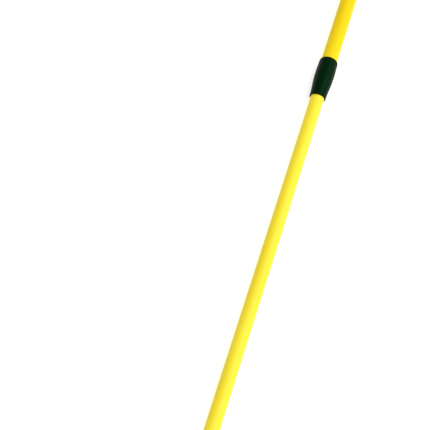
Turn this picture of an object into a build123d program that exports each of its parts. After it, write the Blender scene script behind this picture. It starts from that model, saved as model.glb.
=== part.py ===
from build123d import *
import os
from math import cos, radians, sin

# A two-section telescoping roller pole, in millimetres.
# The pole lies level along Y with its tip towards -Y, and rests on its grip and its collar.
# Every piece is drawn upright about local Z, where z is the distance from the base end of the
# cap (a "station"), and is then laid down by place().

# ---- tubes and fits ----------------------------------------------------------------------------
OUTER_TUBE_R = 12.7            # base tube, 25.4 mm outside
OUTER_BORE_R = 11.2
INNER_TUBE_R = 10.7            # extension tube, 21.4 mm outside
INNER_BORE_R = 9.2
INNER_LENGTH = 826.0
EXPOSED_AT_REST = 630.0        # extension tube outside the collar
BOND = 0.05                    # glue or press gap between pieces that are fixed together
RUN = 0.08                     # radial running clearance between pieces that slide or turn
OPEN = 0.3                     # clearance of an edge that nothing runs on
STOP_GAP = 0.5                 # what is left at the out-stop and the in-stop
OVERLAP = 1.0                  # how far joined primitives run into each other

# ---- collar: outside radius at each place, and how far that place is from the mouth ------------
COLLAR_MOUTH = 930.0           # the face that the extension tube comes out of
COLLAR_R_MOUTH = 12.95
COLLAR_R_NECK, COLLAR_AT_NECK = 13.4, 12.0
COLLAR_R_SWELL, COLLAR_AT_SWELL = 14.7, 26.5
COLLAR_R_CREST, COLLAR_AT_CREST = 15.35, 42.5
COLLAR_R_SHOULDER, COLLAR_AT_SHOULDER = 14.72, 67.0
SHOULDER_TAPER = 0.04
SHOULDER_ROUND = 3.5
SHOULDER_TURN = 60.0
COLLAR_LIP = 1.2
SEAT_R = 12.0                  # the collar's inner seat for the bush and the seal
SEAL_THICK = 3.0
SEAL_EDGE = 0.8                # from the seal's front face to its wiping edge
BUSH_DEPTH = 18.0              # from the collar's mouth to the base tube's end
BUSH_SPIGOT = 10.0

# ---- eccentric lock ----------------------------------------------------------------------------
RELEASE_TURN = 90.0            # degrees from locked to released
CAM_OFFSET = 0.6               # journal axis from the pole axis
CAM_R = 10.3
CAM_LENGTH = 21.0
CAM_FLOAT = 0.5                # end play each side of the cam ring
CAM_BORE_GAP = 0.05
CAM_SLIT = 2.0
SPRING_WIRE_R = 0.7
SPRING_OPENING = 5.0
JOURNAL_R = 6.0
END_JOURNAL_R = 5.2
PLUG_LENGTH = 30.0             # spindle inside the extension tube
FLANGE_R = 11.1
FLANGE_THICK = 3.0
THRUST_R = 9.5
THRUST_THICK = 1.0
THRUST_FLOAT = 0.1
GLIDE_R = OUTER_BORE_R - RUN
GLIDE_LENGTH = 10.0
GLIDE_FLOAT = 0.4
GLIDE_CHAMFER = 0.8
O_RING_WIRE_R = 0.9
O_RING_PROUD = 0.03            # how far the rubber ring stands out of the glide ring
RETAINER_R = 8.6
RETAINER_THICK = 1.5
SCREW_R = 1.9
SCREW_LENGTH = 16.0
SCREW_HEAD_R = 4.2
SCREW_HEAD = 2.8
SCREW_HEAD_ROUND = 1.3
RECESS_LENGTH, RECESS_WIDTH, RECESS_DEPTH = 4.4, 1.1, 1.2

# ---- tip: 3/4 inch, five turns per inch, trapezoidal thread ------------------------------------
THREAD_R = 9.525
THREAD_PITCH = 5.08
THREAD_DEPTH = 2.4
THREAD_LENGTH = 26.0
THREAD_RUNOUT = 2.2            # plain core between the flange and the thread's start
THREAD_CREST = 1.9
THREAD_SLOPE = 0.62            # sideways run of each flank over the thread's depth
THREAD_BITE = 0.3              # how far the ridge is sunk into the core
NOSE_LENGTH = 4.5
NOSE_R = 5.9
FERRULE_R = 12.2
FERRULE_SKIRT = 22.0           # over the extension tube
FERRULE_SHANK = 32.0           # inside it
FERRULE_SHOULDER = 8.0
FERRULE_EDGE = 1.2
TIP_SPIGOT_R = 6.0
TIP_SPIGOT = 28.0
TIP_FLANGE_R = 11.5
TIP_FLANGE_THICK = 3.0
TIP_FLANGE_CHAMFER = 0.6
PIN_R = 1.5
PIN_CHAMFER = 0.3
PIN_SHORT = 0.1                # each end of a pin lies this far under the surface

# ---- grip and cap ------------------------------------------------------------------------------
GRIP_START = 48.0
GRIP_LENGTH = 132.0
GRIP_ACROSS_FLATS = 30.7
GRIP_CORNER_ROUND = 7.5
GRIP_END_ROUND = 2.4
BAND_COUNT = 3
BAND_START = 7.0
BAND_PITCH = 4.0
BAND_WIDTH = 1.4
BAND_DEPTH = 0.5
CAP_R = 14.4
CAP_NOSE_R, CAP_NOSE_AT = 8.0, 19.0
CAP_DOME_R, CAP_DOME_MID = 12.8, 23.4
CAP_DOME_AT = 29.0
CAP_CHAMFER = 0.8
CAP_SHOULDER = 34.0            # the base tube's end face seats here
CAP_PIN_AT = 60.0
PLUG_END = 70.0
PLUG_CHAMFER = 1.5
TONGUE_LENGTH = 30.0
TONGUE_THICK = 9.0
TONGUE_WIDTH = 22.0
TONGUE_ROUND = 2.2
HANG_HOLE_R = 4.5
HANG_HOLE_AT = 11.0
HANG_HOLE_ROUND = 1.0
BUMPER_THICK = 8.0
BUMPER_GAP = 0.6
BUMPER_ROUND = 3.0
BUMPER_STEM_R = 2.5
BUMPER_STEM = 6.0

# ---- stations worked out from them -------------------------------------------------------------
OUTER_END = COLLAR_MOUTH - BUSH_DEPTH
INNER_TIP = COLLAR_MOUTH + EXPOSED_AT_REST
INNER_BASE = INNER_TIP - INNER_LENGTH
FLANGE_BASE = INNER_BASE - FLANGE_THICK
CAM_TOP = FLANGE_BASE - CAM_FLOAT
CAM_BASE = CAM_TOP - CAM_LENGTH
CAM_MIDDLE = (CAM_BASE + CAM_TOP) / 2
JOURNAL_BASE = CAM_BASE - CAM_FLOAT
THRUST_BASE = JOURNAL_BASE - THRUST_FLOAT - THRUST_THICK
GLIDE_TOP = THRUST_BASE - GLIDE_FLOAT
GLIDE_BASE = GLIDE_TOP - GLIDE_LENGTH
GLIDE_MIDDLE = (GLIDE_BASE + GLIDE_TOP) / 2
SPINDLE_END = GLIDE_BASE - GLIDE_FLOAT
RETAINER_BASE = SPINDLE_END - RETAINER_THICK
SPINDLE_PIN_AT = INNER_BASE + PLUG_LENGTH / 2
TIP_PIN_AT = INNER_TIP - FERRULE_SKIRT / 2
SHOULDER_TOP = INNER_TIP + FERRULE_SHOULDER
TIP_FLANGE_BASE = SHOULDER_TOP + BOND
THREAD_BASE = TIP_FLANGE_BASE + TIP_FLANGE_THICK
THREAD_CORE_R = THREAD_R - THREAD_DEPTH
TIP_END = THREAD_BASE + THREAD_LENGTH
AXIS_HEIGHT = GRIP_ACROSS_FLATS / 2
# the cam's own axis when locked; it is the pole axis when released
CAM_SHIFT = (
    CAM_OFFSET * (1 - cos(radians(RELEASE_TURN))),
    -CAM_OFFSET * sin(radians(RELEASE_TURN)),
)


# ---- shared shapes -----------------------------------------------------------------------------
def place(piece):
    """Lays an upright piece down along Y, centred end to end, with the floor at z = 0."""
    return Pos(0, TIP_END / 2, AXIS_HEIGHT) * Rot(90, 0, 0) * piece


def write(name, piece):
    piece.label = name
    export_step(place(piece), "parts/" + name + ".step")


def rod(radius, low, high, x=0.0, y=0.0):
    """A round bar between two stations."""
    bar = Cylinder(radius, high - low, align=(Align.CENTER, Align.CENTER, Align.MIN))
    return Pos(x, y, low) * bar


def ring(outer, inner, low, high):
    """A plain ring or tube between two stations."""
    return rod(outer, low, high) - rod(inner, low - OVERLAP, high + OVERLAP)


def spun(*lines):
    """A solid of revolution from lines drawn with x as the radius and y as the station."""
    return revolve(Plane.XZ * make_face(lines), Axis.Z)


def turned(*corners):
    """A solid of revolution from (radius, station) corners."""
    return spun(Polyline(*corners, close=True))


def cross_bar(radius, half_length, station):
    """A round bar across the pole, along local X."""
    bar = Cylinder(radius, 2 * half_length, rotation=(0, 90, 0))
    return Pos(0, 0, station) * bar


def pin_hole(surface_r, station):
    """What a pin's hole removes, out past the given surface."""
    return cross_bar(PIN_R + BOND, surface_r + OVERLAP, station)


def cross_pin(surface_r, station):
    """A plain dowel across the pole, just under the given surface, with chamfered ends."""
    pin = cross_bar(PIN_R, surface_r - PIN_SHORT, station)
    return chamfer(pin.edges().filter_by(GeomType.CIRCLE), PIN_CHAMFER)


# ---- base section ------------------------------------------------------------------------------
def outer_tube():
    tube = ring(OUTER_TUBE_R, OUTER_BORE_R, CAP_SHOULDER + BOND, OUTER_END)
    return tube - pin_hole(OUTER_TUBE_R, CAP_PIN_AT)


def collar_outline():
    """The collar's outside in two curves, from its mouth to its crest and on to its shoulder."""
    crest = (COLLAR_R_CREST, COLLAR_MOUTH - COLLAR_AT_CREST)
    towards_base = (0, -1)
    front = Spline(
        (COLLAR_R_MOUTH, COLLAR_MOUTH - COLLAR_LIP),
        (COLLAR_R_NECK, COLLAR_MOUTH - COLLAR_AT_NECK),
        (COLLAR_R_SWELL, COLLAR_MOUTH - COLLAR_AT_SWELL),
        crest,
        tangents=[towards_base, towards_base],
    )
    back = Spline(
        crest,
        (COLLAR_R_SHOULDER, COLLAR_MOUTH - COLLAR_AT_SHOULDER),
        tangents=[towards_base, (-SHOULDER_TAPER, -1)],
    )
    return front, back


def lock_collar():
    """One moulded sleeve: a turned skin over the base tube, the guide bush and the wiper seal."""
    front, back = collar_outline()
    tube_r = OUTER_TUBE_R + BOND
    seat_r = SEAT_R + BOND
    lip_r = COLLAR_R_MOUTH - COLLAR_LIP
    lip_base = COLLAR_MOUTH - COLLAR_LIP
    mouth = JernArc((lip_r, COLLAR_MOUTH), (1, 0), COLLAR_LIP, -90)
    shoulder = JernArc(back @ 1, back % 1, SHOULDER_ROUND, -SHOULDER_TURN)
    inside = Polyline(
        shoulder @ 1,
        (tube_r, (shoulder @ 1).Y),
        (tube_r, OUTER_END),
        (seat_r, OUTER_END),
        (seat_r, lip_base),
        (INNER_TUBE_R + OPEN, lip_base),
        (INNER_TUBE_R + OPEN, COLLAR_MOUTH),
        (lip_r, COLLAR_MOUTH),
    )
    return spun(mouth, front, back, shoulder, inside)


def collar_guide_bush():
    """A flanged bush: its spigot enters the base tube and is the stop for the extension."""
    base = OUTER_END - BUSH_SPIGOT
    top = COLLAR_MOUTH - COLLAR_LIP - SEAL_THICK - 2 * BOND
    return turned(
        (INNER_TUBE_R + RUN, base),
        (OUTER_BORE_R - BOND, base),
        (OUTER_BORE_R - BOND, OUTER_END + BOND),
        (SEAT_R, OUTER_END + BOND),
        (SEAT_R, top),
        (INNER_TUBE_R + RUN, top),
    )


def collar_wiper_seal():
    """A soft ring with a tapered wiping edge towards the mouth."""
    top = COLLAR_MOUTH - COLLAR_LIP - BOND
    return turned(
        (INNER_TUBE_R + 2 * OPEN, top - SEAL_THICK),
        (SEAT_R, top - SEAL_THICK),
        (SEAT_R, top),
        (INNER_TUBE_R + OPEN, top),
        (INNER_TUBE_R + RUN, top - SEAL_EDGE),
    )


def hand_grip():
    """A soft six-sided sleeve, rounded at its corners and ends, with ring grooves at each end."""
    low = GRIP_START + BOND
    high = low + GRIP_LENGTH
    section = RegularPolygon(GRIP_ACROSS_FLATS / 2, 6, major_radius=False)
    body = Pos(0, 0, low) * extrude(section, GRIP_LENGTH)
    body = fillet(body.edges().filter_by(Axis.Z), GRIP_CORNER_ROUND)
    body = fillet(body.faces().filter_by(Axis.Z).edges(), GRIP_END_ROUND)
    band = ring(GRIP_ACROSS_FLATS, GRIP_ACROSS_FLATS / 2 - BAND_DEPTH, 0, BAND_WIDTH)
    for turn in range(BAND_COUNT):
        shift = BAND_START + turn * BAND_PITCH
        body -= Pos(0, 0, low + shift) * band
        body -= Pos(0, 0, high - shift - BAND_WIDTH) * band
    return body - rod(OUTER_TUBE_R + BOND, low - OVERLAP, high + OVERLAP)


def hanging_tongue():
    """A flat tab with a round end, softened edges and a hole through it along local Y."""
    tab = SlotCenterToCenter(2 * TONGUE_LENGTH, TONGUE_WIDTH)
    tab = extrude(tab, TONGUE_THICK / 2, both=True)
    tab = fillet(tab.faces().filter_by(Axis.Z).edges(), TONGUE_ROUND)
    tab = Rot(90, 0, 0) * Rot(0, 0, 90) * tab
    tab = Pos(0, 0, TONGUE_LENGTH + TONGUE_WIDTH / 2) * tab
    tab &= rod(TONGUE_WIDTH, 0, TONGUE_LENGTH)
    tab -= Pos(0, 0, HANG_HOLE_AT) * Cylinder(HANG_HOLE_R, TONGUE_THICK, rotation=(90, 0, 0))
    circles = tab.edges().filter_by(GeomType.CIRCLE)
    rims = circles.filter_by(lambda edge: abs(edge.radius - HANG_HOLE_R) < BOND)
    return fillet(rims, HANG_HOLE_ROUND)


def cap_body():
    """A domed head, a skirt over the base tube and a plug inside it, all turned."""
    skirt_end = GRIP_START - BOND
    plug_r = OUTER_BORE_R - BOND
    dome = ThreePointArc(
        (CAP_NOSE_R, CAP_NOSE_AT), (CAP_DOME_R, CAP_DOME_MID), (CAP_R, CAP_DOME_AT)
    )
    rest = Polyline(
        (CAP_R, CAP_DOME_AT),
        (CAP_R, skirt_end - CAP_CHAMFER),
        (CAP_R - CAP_CHAMFER, skirt_end),
        (OUTER_TUBE_R + BOND, skirt_end),
        (OUTER_TUBE_R + BOND, CAP_SHOULDER),
        (plug_r, CAP_SHOULDER),
        (plug_r, PLUG_END - PLUG_CHAMFER),
        (plug_r - PLUG_CHAMFER, PLUG_END),
        (0, PLUG_END),
        (0, CAP_NOSE_AT),
        (CAP_NOSE_R, CAP_NOSE_AT),
    )
    return spun(dome, rest)


def end_cap():
    """One moulding: hanging tongue, head, skirt and plug, with its pin hole and stem hole."""
    body = cap_body() + hanging_tongue()
    body -= rod(BUMPER_STEM_R + BOND, PLUG_END - BUMPER_STEM, PLUG_END + OVERLAP)
    return body - pin_hole(OUTER_BORE_R, CAP_PIN_AT)


def end_cap_pin():
    return cross_pin(OUTER_TUBE_R, CAP_PIN_AT)


def travel_bumper():
    """A rubber pad with a stem pressed into the plug."""
    low = PLUG_END + BOND
    pad = rod(OUTER_BORE_R - BUMPER_GAP, low, low + BUMPER_THICK)
    pad = fillet(pad.edges().sort_by(Axis.Z)[-1], BUMPER_ROUND)
    return pad + rod(BUMPER_STEM_R, PLUG_END - BUMPER_STEM + OPEN, low + OVERLAP)


# ---- extension section -------------------------------------------------------------------------
def inner_tube():
    tube = ring(INNER_TUBE_R, INNER_BORE_R, INNER_BASE + BOND, INNER_TIP)
    tube -= pin_hole(INNER_TUBE_R, SPINDLE_PIN_AT)
    return tube - pin_hole(INNER_TUBE_R, TIP_PIN_AT)


def cam_spindle():
    """Plug, stop flange, off-centre journal for the cam and plain journal for the glide ring."""
    body = rod(INNER_BORE_R - BOND, INNER_BASE - OVERLAP, INNER_BASE + PLUG_LENGTH)
    body += rod(FLANGE_R, FLANGE_BASE, INNER_BASE)
    body += rod(JOURNAL_R, JOURNAL_BASE, FLANGE_BASE + OVERLAP, x=CAM_OFFSET)
    body += rod(END_JOURNAL_R, SPINDLE_END, JOURNAL_BASE + OVERLAP)
    body -= rod(SCREW_R + BOND, SPINDLE_END - OVERLAP, SPINDLE_END + SCREW_LENGTH + OVERLAP)
    return body - pin_hole(INNER_BORE_R, SPINDLE_PIN_AT)


def spindle_cross_pin():
    return cross_pin(INNER_TUBE_R, SPINDLE_PIN_AT)


def cam_thrust_washer():
    return ring(THRUST_R, END_JOURNAL_R + BOND, THRUST_BASE, THRUST_BASE + THRUST_THICK)


def retainer_washer():
    return ring(RETAINER_R, SCREW_R + OPEN, RETAINER_BASE, SPINDLE_END)


def retainer_screw():
    """A pan-head screw with a cross recess."""
    head_base = RETAINER_BASE - SCREW_HEAD
    head = rod(SCREW_HEAD_R, head_base, RETAINER_BASE)
    head = fillet(head.edges().sort_by(Axis.Z)[0], SCREW_HEAD_ROUND)
    for turn in (0, 90):
        slot = Rot(0, 0, turn) * Box(RECESS_LENGTH, RECESS_WIDTH, 2 * RECESS_DEPTH)
        head -= Pos(0, 0, head_base) * slot
    return head + rod(SCREW_R, RETAINER_BASE - OPEN, SPINDLE_END + SCREW_LENGTH)


def tip_ferrule():
    """Skirt over the tube, shank inside it and a shoulder that carries the metal tip."""
    skirt_base = INNER_TIP - FERRULE_SKIRT
    shank_base = INNER_TIP - FERRULE_SHANK
    body = turned(
        (TIP_SPIGOT_R + BOND, shank_base),
        (INNER_BORE_R - BOND, shank_base),
        (INNER_BORE_R - BOND, INNER_TIP + BOND),
        (INNER_TUBE_R + BOND, INNER_TIP + BOND),
        (INNER_TUBE_R + BOND, skirt_base),
        (FERRULE_R - FERRULE_EDGE / 2, skirt_base),
        (FERRULE_R, skirt_base + FERRULE_EDGE),
        (FERRULE_R, INNER_TIP + FERRULE_EDGE),
        (TIP_FLANGE_R + OPEN, SHOULDER_TOP),
        (TIP_SPIGOT_R + BOND, SHOULDER_TOP),
    )
    return body - pin_hole(FERRULE_R, TIP_PIN_AT)


def thread_ridge():
    """One trapezoid carried up a right-hand helix, with its root sunk into the core."""
    low = THREAD_BASE + THREAD_RUNOUT
    half_crest = THREAD_CREST / 2
    half_root = half_crest + THREAD_SLOPE
    section = Polyline(
        (THREAD_CORE_R - THREAD_BITE, 0, low - half_root),
        (THREAD_R, 0, low - half_crest),
        (THREAD_R, 0, low + half_crest),
        (THREAD_CORE_R - THREAD_BITE, 0, low + half_root),
        close=True,
    )
    path = Pos(0, 0, low) * Helix(THREAD_PITCH, TIP_END - low, THREAD_CORE_R)
    return sweep(make_face(section), path=path, is_frenet=True)


def threaded_tip():
    """Spigot in the ferrule, seat flange, and the male thread cut back to a coned nose."""
    low = THREAD_BASE - OVERLAP
    envelope = turned(
        (0, low),
        (THREAD_R + OVERLAP, low),
        (THREAD_R + OVERLAP, TIP_END - NOSE_LENGTH),
        (NOSE_R, TIP_END),
        (0, TIP_END),
    )
    flange = rod(TIP_FLANGE_R, TIP_FLANGE_BASE, THREAD_BASE)
    flange = chamfer(flange.edges().filter_by(GeomType.CIRCLE), TIP_FLANGE_CHAMFER)
    spigot = rod(TIP_SPIGOT_R, INNER_TIP - TIP_SPIGOT, TIP_FLANGE_BASE + OVERLAP)
    thread = (rod(THREAD_CORE_R, low, TIP_END) + thread_ridge()) & envelope
    return thread + flange + spigot - pin_hole(TIP_SPIGOT_R, TIP_PIN_AT)


def tip_cross_pin():
    return cross_pin(FERRULE_R, TIP_PIN_AT)


# ---- glide and cam -----------------------------------------------------------------------------
def groove(outer_r, wire_r, middle):
    """What a wire's groove removes from the outside of a ring."""
    half = wire_r + BOND
    return ring(outer_r + OVERLAP, outer_r - 2 * wire_r - BOND, middle - half, middle + half)


def glide_ring():
    """A bearing ring for the base tube's bore, with a groove for its rubber ring."""
    body = ring(GLIDE_R, END_JOURNAL_R + RUN, GLIDE_BASE, GLIDE_TOP)
    rims = body.edges().filter_by(GeomType.CIRCLE).group_by(SortBy.RADIUS)[-1]
    return chamfer(rims, GLIDE_CHAMFER) - groove(GLIDE_R, O_RING_WIRE_R, GLIDE_MIDDLE)


def glide_o_ring():
    return Pos(0, 0, GLIDE_MIDDLE) * Torus(GLIDE_R - O_RING_WIRE_R + O_RING_PROUD, O_RING_WIRE_R)


def cam_ring():
    """A split ring: its bore runs on the journal, and its outside is off-centre from that bore."""
    shift = Pos(CAM_SHIFT[0], CAM_SHIFT[1], 0)
    body = shift * (rod(CAM_R, CAM_BASE, CAM_TOP) - groove(CAM_R, SPRING_WIRE_R, CAM_MIDDLE))
    bore_r = JOURNAL_R + CAM_BORE_GAP
    body -= rod(bore_r, CAM_BASE - OVERLAP, CAM_TOP + OVERLAP, x=CAM_OFFSET)
    slit = Box(CAM_SLIT, 2 * CAM_R, 2 * CAM_LENGTH, align=(Align.CENTER, Align.MIN, Align.CENTER))
    return body - Pos(CAM_OFFSET, 0, CAM_MIDDLE) * slit


def cam_drag_spring():
    """An open wire ring in the cam's groove."""
    wire = Torus(CAM_R - SPRING_WIRE_R - BOND, SPRING_WIRE_R)
    opening = Box(SPRING_OPENING, 2 * CAM_R, CAM_R, align=(Align.CENTER, Align.MIN, Align.CENTER))
    return Pos(CAM_SHIFT[0], CAM_SHIFT[1], CAM_MIDDLE) * (wire - opening)


PIECES = [
    outer_tube,
    lock_collar,
    collar_guide_bush,
    collar_wiper_seal,
    hand_grip,
    end_cap,
    end_cap_pin,
    travel_bumper,
    glide_ring,
    glide_o_ring,
    inner_tube,
    cam_spindle,
    spindle_cross_pin,
    cam_thrust_washer,
    retainer_washer,
    retainer_screw,
    tip_ferrule,
    threaded_tip,
    tip_cross_pin,
    cam_ring,
    cam_drag_spring,
]

os.makedirs("parts", exist_ok=True)
for piece in PIECES:
    write(piece.__name__, piece())
print("length at rest", TIP_END)
print("travel out", OUTER_END - BUSH_SPIGOT - STOP_GAP - INNER_BASE)
print("travel in", INNER_TIP - FERRULE_SKIRT - COLLAR_MOUTH - STOP_GAP)
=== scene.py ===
from math import cos, pi, radians, sin

import bpy
import numpy as np
from mathutils import Matrix, Vector


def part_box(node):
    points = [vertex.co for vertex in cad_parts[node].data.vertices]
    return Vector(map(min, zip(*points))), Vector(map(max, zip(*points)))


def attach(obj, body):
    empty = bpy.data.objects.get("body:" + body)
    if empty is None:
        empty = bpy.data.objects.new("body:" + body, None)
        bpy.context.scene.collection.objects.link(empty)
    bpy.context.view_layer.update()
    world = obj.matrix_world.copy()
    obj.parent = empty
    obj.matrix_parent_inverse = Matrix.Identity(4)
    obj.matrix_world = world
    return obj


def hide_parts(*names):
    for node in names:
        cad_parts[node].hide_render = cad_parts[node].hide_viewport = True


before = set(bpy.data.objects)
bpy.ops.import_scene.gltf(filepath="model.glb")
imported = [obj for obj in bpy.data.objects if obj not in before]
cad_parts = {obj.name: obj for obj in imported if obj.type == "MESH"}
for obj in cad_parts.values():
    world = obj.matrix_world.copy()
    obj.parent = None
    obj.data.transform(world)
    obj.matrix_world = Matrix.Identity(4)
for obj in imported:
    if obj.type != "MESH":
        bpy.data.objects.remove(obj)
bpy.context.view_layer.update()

# A two-section telescoping roller pole that lies on a pale floor, tip towards -Y, grip towards +Y.
# Lengths are in metres. A piece is worked out in pole coordinates, (across, up, station), where
# the station is the distance from the base end of the cap, and is then laid down along Y.

MM = 0.001
AROUND = 128                   # steps round a turned piece
LONGEST = 15 * MM              # longest face along a piece
ARC_STEPS = 6                  # points on a rounded corner
SHARP_ANGLE = 35.0             # degrees; edges over it are kept sharp
ROUNDING = 1e-6                # keeps a rounding error from adding a face


# ---- places read from the frame ----------------------------------------------------------------
def reach(node):
    """Half of a node's width, which is its largest radius."""
    low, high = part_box(node)
    return (high.x - low.x) / 2


def ends(node):
    """A node's two stations, the base end first."""
    low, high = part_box(node)
    return BASE_END - high.y, BASE_END - low.y


def middle(node):
    """The station halfway along a node."""
    return sum(ends(node)) / 2


BASE_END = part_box("end_cap")[1].y
AXIS_HEIGHT = sum(corner.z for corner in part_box("outer_tube")) / 2
GAP = 0.05 * MM                # glue or press gap between pieces that are fixed together
WALL = 1.5 * MM                # of both tubes
BASE_R = reach("outer_tube")
BASE_BORE_R = BASE_R - WALL
EXTENSION_R = reach("inner_tube")
EXTENSION_BORE_R = EXTENSION_R - WALL
PIN_HOLE_R = 1.55 * MM


# ---- surfaces ----------------------------------------------------------------------------------
class Skin:
    """One closed surface, gathered part by part from grids of points in pole coordinates."""

    def __init__(self):
        self.points = np.zeros((0, 3))
        self.quads = []
        self.triangles = []

    def put(self, points):
        """Adds a grid of points and returns the grid of their numbers."""
        first = len(self.points)
        self.points = np.concatenate([self.points, points.reshape(-1, 3)])
        return first + np.arange(points.size // 3).reshape(points.shape[:-1])

    def cover(self, grid, across=True, along=False, leave_out=None):
        """Four-sided faces between neighbours in a grid of point numbers.

        across joins the last row to the first and along the last column to the first; leave_out
        marks the faces that are left open for a hole."""
        if across:
            grid = np.concatenate([grid, grid[:1]])
        if along:
            grid = np.concatenate([grid, grid[:, :1]], 1)
        faces = np.stack([grid[:-1, :-1], grid[1:, :-1], grid[1:, 1:], grid[:-1, 1:]], -1)
        keep = np.ones(faces.shape[:2], bool) if leave_out is None else ~leave_out
        self.quads.append(faces[keep])

    def close(self, loop, pole):
        """A fan of triangles from a ring of point numbers to one pole point."""
        tip = np.full(len(loop), self.put(np.array([pole]))[0])
        self.triangles.append(np.stack([np.roll(loop, -1), loop, tip], -1))

    def faces(self):
        """Every face as (corner numbers, corner counts), turned over if the volume is negative."""
        quads = np.concatenate(self.quads)
        split = [quads[:, (0, 1, 2)], quads[:, (0, 2, 3)]] + self.triangles
        a, b, c = np.moveaxis(self.points[np.concatenate(split)], 1, 0)
        parts = [quads] + self.triangles
        if np.einsum("ij,ij->", a, np.cross(b, c)) < 0:
            parts = [part[:, ::-1] for part in parts]
        corners = np.concatenate([part.ravel() for part in parts])
        counts = np.concatenate([np.full(len(part), part.shape[1]) for part in parts])
        return corners, counts


def laid_down(points):
    """Pole coordinates as places in the frame: a quarter turn about X and two shifts."""
    across, up, station = np.moveaxis(points, -1, 0)
    return np.stack([across, BASE_END - station, AXIS_HEIGHT + up], -1)


def make(name, *skins):
    """One smooth-shaded object from its skins, with its sharp edges kept."""
    corners, counts, points, first = [], [], [], 0
    for skin in skins:
        part, part_counts = skin.faces()
        corners.append(part + first)
        counts.append(part_counts)
        points.append(skin.points)
        first += len(skin.points)
    corners, counts = np.concatenate(corners), np.concatenate(counts)
    mesh = bpy.data.meshes.new(name)
    mesh.vertices.add(first)
    mesh.vertices.foreach_set("co", laid_down(np.concatenate(points)).ravel())
    mesh.loops.add(len(corners))
    mesh.loops.foreach_set("vertex_index", corners)
    mesh.polygons.add(len(counts))
    mesh.polygons.foreach_set("loop_start", np.cumsum(counts) - counts)
    mesh.update(calc_edges=True)
    mesh.validate()
    mesh.shade_smooth()
    mesh.set_sharp_from_angle(angle=radians(SHARP_ANGLE))
    piece = bpy.data.objects.new(name, mesh)
    bpy.context.scene.collection.objects.link(piece)
    return piece


def profile(*corners, closed=True):
    """An outline from (radius, station, rounding) corners: each rounded corner is an arc tangent
    to both its sides, and a long stretch is divided evenly."""
    corners = np.array([(*corner, 0.0)[:3] for corner in corners])
    spots, line = corners[:, :2], []
    for i, (spot, size) in enumerate(zip(spots, corners[:, 2])):
        if size == 0:
            line.append(spot[None])
            continue
        back = spots[i - 1] - spot
        ahead = spots[(i + 1) % len(spots)] - spot
        back, ahead = back / np.linalg.norm(back), ahead / np.linalg.norm(ahead)
        half = np.arccos(back @ ahead) / 2
        inward = (back + ahead) / np.linalg.norm(back + ahead)
        centre = spot + inward * size / np.sin(half)
        start = spot + back * size / np.tan(half) - centre
        end = spot + ahead * size / np.tan(half) - centre
        sweep = pi - 2 * half
        share = np.linspace(0, 1, ARC_STEPS)[:, None]
        arc = np.sin((1 - share) * sweep) * start + np.sin(share * sweep) * end
        line.append(centre + arc / np.sin(sweep))
    return divided(np.concatenate(line), closed)


def divided(line, closed=True):
    """The same outline with every stretch over the longest length divided evenly."""
    ahead = np.roll(line, -1, axis=0) if closed else line[1:]
    parts = []
    for start, end in zip(line, ahead):
        count = max(1, int(np.ceil(np.linalg.norm(end - start) / LONGEST - ROUNDING)))
        parts.append(start + (end - start) * (np.arange(count) / count)[:, None])
    if not closed:
        parts.append(line[-1:])
    return np.concatenate(parts)


def turned(outline, shape=None, around=AROUND):
    """A grid with a row for each angle and a column for each point of the outline.

    shape(turn, station, radius) gives another radius where the piece isn't round."""
    turn = (np.arange(around) * 2 * pi / around)[:, None]
    radius = outline[:, 0] + 0 * turn
    station = outline[:, 1] + 0 * turn
    if shape:
        radius = shape(turn, station, radius)
    return np.stack([radius * np.cos(turn), radius * np.sin(turn), station], -1)


def smooth(value, low, high):
    """0 at low, 1 at high, and the cubic 3t^2 - 2t^3 between them."""
    t = np.clip((value - low) / (high - low), 0, 1)
    return t * t * (3 - 2 * t)


# ---- turned pieces, with round holes across the pole -------------------------------------------
PATCH_HALF = 2.8 * MM          # half of the square patch that a hole's rings are drawn in
PATCH_COLUMNS = 8
PATCH_RINGS = (0.35, 0.7, 1.0)
RIM = 0.25 * MM
RIM_STEPS = 4


def hole_columns(radius, hole):
    """Corners for a straight stretch at one radius, spaced for the patch of a hole."""
    stations = np.linspace(hole - PATCH_HALF, hole + PATCH_HALF, PATCH_COLUMNS)
    return [(radius, station) for station in stations]


def patch_of(outline, grid, radius, hole, side):
    """The block of point numbers round a hole's place, and the mask of the faces inside it.

    side is +1 or -1 for the end of local X that the hole is drilled from. The block's rows rise
    and its columns go up the pole on either side, so that two blocks match point by point."""
    around = len(grid)
    half = int(np.ceil(around * np.arcsin(PATCH_HALF / radius[1]) / (2 * pi)))
    rows = np.arange(-half, half + 1) * side + (0 if side > 0 else around // 2)
    near = abs(outline[:, 1] - hole) < PATCH_HALF + GAP
    columns = np.flatnonzero(near & (abs(outline[:, 0] - radius[0]) < GAP / 2))
    mask = np.zeros(grid.shape, bool)
    faces_across = np.sort(rows)[:-1] % around
    mask[np.ix_(faces_across, np.sort(columns)[:-1])] = True
    columns = columns[np.argsort(outline[columns, 1])]
    return grid[np.ix_(rows % around, columns)], mask


def edge_of(block):
    """The point numbers round the edge of a block, in order."""
    sides = [block[:-1, 0], block[-1, :-1], block[:0:-1, -1], block[0, :0:-1]]
    return np.concatenate(sides)


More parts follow.
